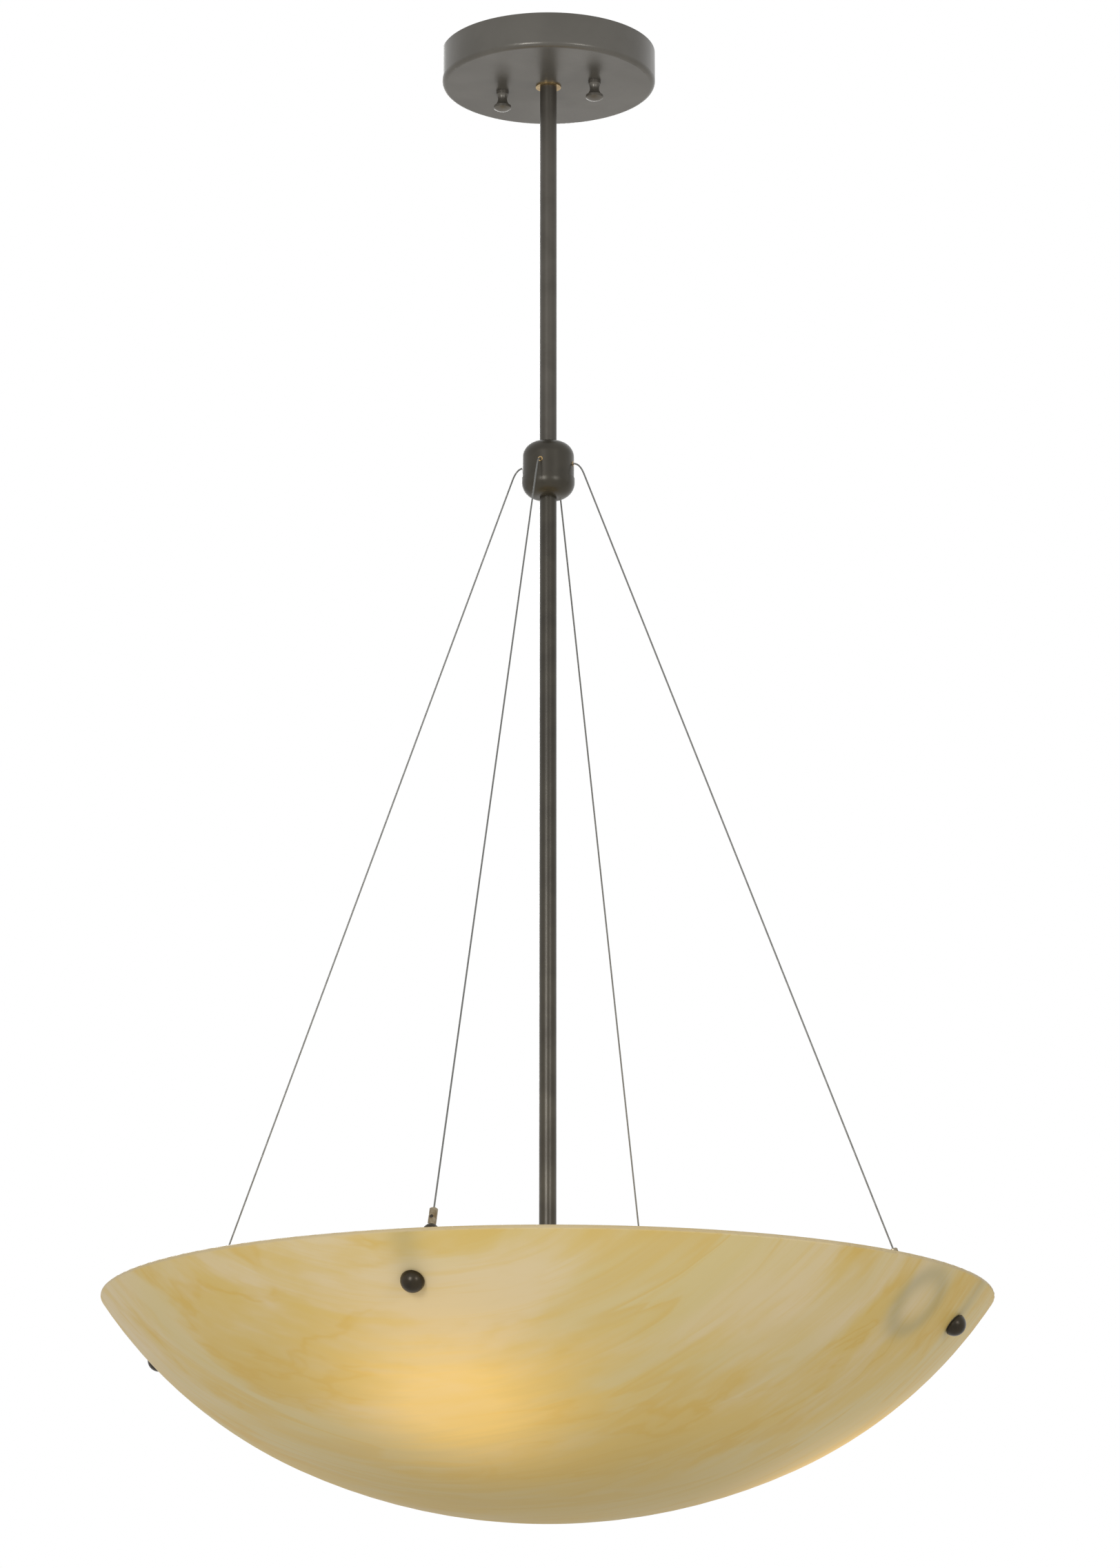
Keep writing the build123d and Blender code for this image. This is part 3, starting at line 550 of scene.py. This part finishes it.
def glassFinish(s):
    noise, edges, share = s["noise"], s["edges"], s["share"]
    material, tree, place = newFinish("cloudGlass")
    turn = {"Vector": place, "Rotation": (0, 0, math.radians(s["streakTurn"])), "Scale": s["stretch"]}
    sheet = tree.node("ShaderNodeMapping", {"vector_type": "TEXTURE"}, turn)
    swirl = tree.vector("SUBTRACT", sheet.noise(*noise["swirl"], output=1), (0.5, 0.5, 0.5))
    warped = tree.vector("MULTIPLY_ADD", swirl, s["warp"], sheet)
    clouds = warped.noise(*noise["clouds"])
    bands = tree.vector("ADD", warped, s["bandShift"]).noise(*noise["bands"])
    fibres = tree.vector("MULTIPLY", warped, s["fibreSqueeze"]).noise(*noise["fibres"])
    curls = tree.vector("ADD", warped, s["curlShift"]).noise(*noise["curls"])
    wisps = tree.vector("MULTIPLY", warped, s["wispSqueeze"]).noise(*noise["wisps"])
    colour = clouds.ramp(*edges["pale"]).mix(s["cream"], s["pale"])
    colour = (bands.ramp(*edges["bands"]) * share["bands"]).mix(colour, s["ochre"])
    colour = (fibres.ramp(*edges["fibres"]) * share["fibres"]).mix(colour, s["ochre"])
    vein = (curls - 0.5).bell(s["veinWidth"]) * bands.ramp(*edges["veins"])
    colour = (vein * share["veins"]).mix(colour, s["deep"])
    start, crest, end = s["wisp"]
    wisp = wisps.ramp(start, crest) * wisps.ramp(crest, end, 1.0, 0.0) * clouds.ramp(*edges["wisps"])
    colour = (wisp * share["wisps"]).mix(colour, s["deep"])
    split = tree.node("ShaderNodeSeparateXYZ", {}, {0: place})
    x, y, z = split, split.other("Y"), split.other("Z")

    def belowRim(deep, shallow, *ends):
        return z.ramp(rimHeight - deep, rimHeight - shallow, *ends)

    # painted shadows of the fixings and of the spare loop, which lie close behind the glass
    aside = tree.math("MINIMUM", tree.math("ABSOLUTE", x), tree.math("ABSOLUTE", y))
    fixingShadow = aside.bell(s["fixingShadowWidth"]) * belowRim(*s["fixingShadowBand"]) * share["fixingShadow"]
    toLoop = tree.vector("DISTANCE", place, tailMiddle, output="Value")
    ring = (toLoop - s["ringRadius"]).bell(s["ringWidth"]) * clouds.ramp(*edges["ring"])
    colour = tree.math("MAXIMUM", fixingShadow, ring).mix(colour, s["shade"])
    # painted shade: the glass darker and more olive towards the bottom
    colour = belowRim(*s["bottomShadeBand"]).mix(colour, s["bottomShade"])
    colour = (belowRim(*s["rimBand"]) * share["rim"]).mix(colour, s["rim"])
    # painted glow of the lamps through the glass, as emission and as a warmer base colour
    light = None
    for middle in lampMiddles(s):
        toLamp = tree.vector("DISTANCE", place, middle + s["glowDrop"], output="Value")
        halo = toLamp.bell(s["glowReach"])
        light = halo if light is None else light + halo
    even, byFibres, byClouds = s["glowMix"]
    light = light * s["glowPeak"] * (even + fibres * byFibres + clouds * byClouds)
    closeFinish(tree, {
        "Base Color": (light * share["glowTint"]).mix(colour, s["glowTint"]),
        "Roughness": s["polish"] + (clouds - 0.5) * s["cloudDulls"],
        "Specular IOR Level": 0.35,
        "Emission Color": light.mix((0.0, 0.0, 0.0, 1.0), s["glow"]),
        "Emission Strength": 1.0,
        "Normal": bump(warped.noise(*noise["ripples"]), 0.06, 0.002),
    })
    return material


finishes["cloudGlass"] = glassFinish(glassSet)
print("bowl glass made")

# lamps, lampholders and the other plain finishes
plainSet = {
    "lampFrost": {"colour": paint(246, 240, 228), "speck": paint(232, 226, 214), "polish": 0.45,
                  "glow": (1.0, 0.80, 0.50, 1.0), "light": 1.3, "speckNoise": (900.0, 2.0),
                  "neck": (0.118, 0.160, 0.35, 1.0)},  # reach from the stem, and how bright there
    "porcelain": {"colour": paint(238, 235, 226), "cloud": paint(234, 231, 221), "polish": 0.16},
    "enamel": {"colour": paint(222, 218, 206), "cloud": paint(217, 212, 200), "polish": 0.3},
    "rubber": {"colour": paint(44, 44, 44), "cloud": paint(34, 34, 34), "polish": 0.75},
}
plainLook = {
    "cloudNoise": (70.0, 3.0),
    "cloudEdges": (0.35, 0.7),
    "cloudDulls": 0.1,
    "fineNoise": (1400.0, 2.0),
}
leadSet = {
    "earth": paint(58, 132, 70),
    "neutral": paint(226, 224, 218),
    "live": paint(36, 36, 36),
    "liveFrom": (0.0009, 0.0011),  # x, past the other two
    "neutralFrom": (-0.0001, 0.0001),  # y
    "fineNoise": (1500.0, 2.0),
}


def lampFinish(s):
    material, tree, place = newFinish("lampFrost")
    speckle = place.noise(*s["speckNoise"])
    split = tree.node("ShaderNodeSeparateXYZ", {}, {0: place})
    reach = ((split * split) + split.other("Y") * split.other("Y")) ** 0.5
    bright = reach.ramp(*s["neck"]) * (0.96 + speckle * 0.08)
    closeFinish(tree, {
        "Base Color": (speckle * 0.3).mix(s["colour"], s["speck"]),
        "Roughness": s["polish"] + (speckle - 0.5) * 0.1,
        "Emission Color": bright.mix((0.0, 0.0, 0.0, 1.0), s["glow"]),
        "Emission Strength": s["light"],
        "Normal": bump(speckle, 0.05, 0.0003),
    })
    return material


def plainFinish(name):
    s, look = plainSet[name], plainLook
    material, tree, place = newFinish(name)
    clouds = place.noise(*look["cloudNoise"])
    fine = place.noise(*look["fineNoise"])
    closeFinish(tree, {
        "Base Color": clouds.ramp(*look["cloudEdges"]).mix(s["colour"], s["cloud"]),
        "Roughness": s["polish"] + (clouds - 0.5) * look["cloudDulls"],
        "Normal": bump(fine, 0.08, 0.0002),
    })
    return material


def leadFinish(s):
    material, tree, place = newFinish("leadSleeve")
    split = tree.node("ShaderNodeSeparateXYZ", {}, {0: place})
    live = split.ramp(*s["liveFrom"])
    neutral = split.other("Y").ramp(*s["neutralFrom"])
    closeFinish(tree, {
        "Base Color": live.mix(neutral.mix(s["earth"], s["neutral"]), s["live"]),
        "Roughness": 0.45,
        "Normal": bump(place.noise(*s["fineNoise"]), 0.06, 0.0002),
    })
    return material


finishes["lampFrost"] = lampFinish(plainSet["lampFrost"])
for name in ("porcelain", "enamel", "rubber"):
    finishes[name] = plainFinish(name)
finishes["leadSleeve"] = leadFinish(leadSet)
print("lamps and plain finishes made")

# threads that the turned pieces carry, as grooves in their finish
threadSet = {
    "pipe": {"pitch": 0.00094},
    "boxStud": {"pitch": 0.0008, "offset": 0.034925},  # each side of the stem's axis
    "eyeStud": {"pitch": 0.0008, "length": 0.022},
}


def threadOnAxis(pitch, offset=0.0):
    def height(tree, place):
        split = tree.node("ShaderNodeSeparateXYZ", {}, {0: place})
        x = tree.math("ABSOLUTE", split) - offset if offset else split
        turns = tree.math("ARCTAN2", split.other("Y"), x) / (2 * math.pi)
        return tree.math("SINE", (split.other("Z") / pitch + turns) * (2 * math.pi)) * 0.5
    return height


def threadThroughGlass(pitch, length):  # the eye and the neck behind it stay plain
    fixing, normal = glassPoint(0, bowlSet["fixingDrop"])
    start = fixing.dot(normal) - length

    def height(tree, place):
        split = tree.node("ShaderNodeSeparateXYZ", {}, {0: place})
        reach = ((split * split) + split.other("Y") * split.other("Y")) ** 0.5
        along = reach * -normal.y + split.other("Z") * normal.z
        return tree.math("SINE", along * (2 * math.pi / pitch)) * along.ramp(start - 0.001, start) * 0.5
    return height


pipeThread = metalFinish("turnedBrass", threadOnAxis(**threadSet["pipe"]))
boxStudThread = metalFinish("zincSteel", threadOnAxis(**threadSet["boxStud"]))
eyeStudThread = metalFinish("zincSteel", threadThroughGlass(**threadSet["eyeStud"]))

# which finish each piece of the frame gets
dressed = {
    "canopyBronze": ["canopy"],
    "knobBronze": ["canopy_knob_left", "canopy_knob_right"],
    "stemBronze": ["upper_stem"],
    "hubBronze": ["lower_stem", "hub_cover", "hub_base"],
    "darkBronze": [f"{piece}_{side}" for piece in ("cap_nut", "fork") for side in sides],
    "agedNickel": [f"gripper_{side}" for side in sides] + ["cable_stops"],
    "blackScrew": ["gripper_screws"],
    "agedBrass": ["seat_ring", "hub_eyelets"],
    "turnedBrass": ["canopy_nipple_nut", "cluster_nipple_nut", "lamp_arms",
                    "arm_nuts", "screw_shells", "socket_contacts"],
    "zincSteel": ["crossbar", "canopy_stud_nuts", "canopy_lock_washer", "inner_nuts", "fork_pins"],
    "earthGreen": ["earth_screw"],
    "lampCap": [f"lamp_base_{number}" for number in lampNumbers],
    "lampFrost": [f"lamp_glass_{number}" for number in lampNumbers],
    "porcelain": [f"socket_{number}" for number in lampNumbers],
    "enamel": ["cluster_body", "cluster_cover"],
    "rubber": ["outer_washers", "inner_washers"],
    "leadSleeve": ["lead_wires"],
    "cloudGlass": ["bowl"],
}
threaded = {"canopy_nipple": pipeThread, "hub_nipple": pipeThread, "cluster_nipple": pipeThread,
            "canopy_studs": boxStudThread, "eye_studs": eyeStudThread}


def dress(name, material):
    nodes[name].data.materials.clear()
    nodes[name].data.materials.append(material)


for finish, names in dressed.items():
    for name in names:
        dress(name, finishes[finish])
for name, material in threaded.items():
    dress(name, material)
print("finishes on", sum(len(names) for names in dressed.values()) + len(threaded), "nodes")

# plain studio: white all round, key from the camera's left, fill from its right, a pale floor well below
studioSet = {
    "worldLight": 0.63,
    "floorHeight": -2.1,
    "floorHalf": 30.0,
    "floor": paint(249, 248, 246),
    "floorWhite": 0.72,  # the rest shows light and shadow
    "lights": {  # azimuth, distance, height, size, watts
        "keyLight": (-22, 3.2, -0.4, 1.1, 5.8),
        "fillLight": (32, 3.6, -0.4, 1.0, 3.2),
        "backLight": (190, 3.0, 0.6, 1.8, 5.0),
    },
    "spread": 70.0,
    "aimHeight": -0.55,
    "lampLight": (0.05, 0.034, 1.2),  # size, height over the lamp's middle and watts, upwards
    "lampColour": (1.0, 0.96, 0.9),
}


def seenDirectly(tree):  # 1 for the camera and in mirrors, 0 for the light that falls on the object
    path = tree.node("ShaderNodeLightPath", output="Is Camera Ray")
    mirrored = tree.math("MAXIMUM", path.other("Is Glossy Ray"), path.other("Is Transmission Ray"))
    return tree.math("MAXIMUM", path, mirrored)


def makeWorld(s):
    world = bpy.data.worlds.new("whiteStudio")
    world.use_nodes = True
    world.node_tree.nodes.clear()
    tree = Wire(world.node_tree)
    soft = tree.node("ShaderNodeBackground", {}, {"Color": (1, 1, 1, 1), "Strength": s["worldLight"]})
    white = tree.node("ShaderNodeBackground", {}, {"Color": (1, 1, 1, 1), "Strength": 1.0})
    sky = tree.node("ShaderNodeMixShader", {}, {0: seenDirectly(tree), 1: soft, 2: white})
    tree.node("ShaderNodeOutputWorld", {}, {"Surface": sky})
    bpy.context.scene.world = world


def makeFloor(s):
    half, height = s["floorHalf"], s["floorHeight"]
    mesh = bpy.data.meshes.new("paleFloor")
    corners = [(-half, -half, height), (half, -half, height), (half, half, height), (-half, half, height)]
    mesh.from_pydata(corners, [], [(0, 1, 2, 3)])
    floor = bpy.data.objects.new("paleFloor", mesh)
    bpy.context.scene.collection.objects.link(floor)
    material = bpy.data.materials.new("paleFloor")
    material.use_nodes = True
    material.node_tree.nodes.clear()
    tree = Wire(material.node_tree)
    under = tree.node("ShaderNodeNewGeometry", output="Backfacing")
    matt = tree.node("ShaderNodeBsdfDiffuse", {}, {"Color": s["floor"]})
    white = tree.node("ShaderNodeEmission", {}, {"Color": s["floor"]})
    pale = tree.node("ShaderNodeMixShader", {}, {0: seenDirectly(tree) * s["floorWhite"], 1: matt, 2: white})
    clear = tree.node("ShaderNodeBsdfTransparent")
    shader = tree.node("ShaderNodeMixShader", {}, {0: under, 1: pale, 2: clear})  # open from below
    tree.node("ShaderNodeOutputMaterial", {}, {"Surface": shader})
    mesh.materials.append(material)


def makeLights(s):
    aim = Vector((0, 0, s["aimHeight"]))
    for name, (azimuth, distance, height, size, watts) in s["lights"].items():
        data = bpy.data.lights.new(name, "AREA")
        data.shape = "DISK"
        data.size = size
        data.energy = watts
        data.spread = math.radians(s["spread"])
        light = bpy.data.objects.new(name, data)
        light.location = radial(cameraSet["azimuth"] + azimuth, distance, height)
        light.rotation_mode = "QUATERNION"
        light.rotation_quaternion = (aim - light.location).to_track_quat("-Z", "Y")
        bpy.context.scene.collection.objects.link(light)
    size, height, watts = s["lampLight"]
    for middle in lampMiddles(glassSet):
        data = bpy.data.lights.new("lampLight", "AREA")
        data.shape = "DISK"
        data.size = size
        data.energy = watts
        data.color = s["lampColour"]
        light = bpy.data.objects.new("lampLight", data)
        light.location = middle + Vector((0, 0, height))
        light.rotation_euler = (math.pi, 0, 0)
        light.visible_camera = False
        light.visible_glossy = False
        bpy.context.scene.collection.objects.link(light)


makeWorld(studioSet)
makeFloor(studioSet)
makeLights(studioSet)
bpy.context.scene.view_settings.view_transform = "Standard"
print("studio set")
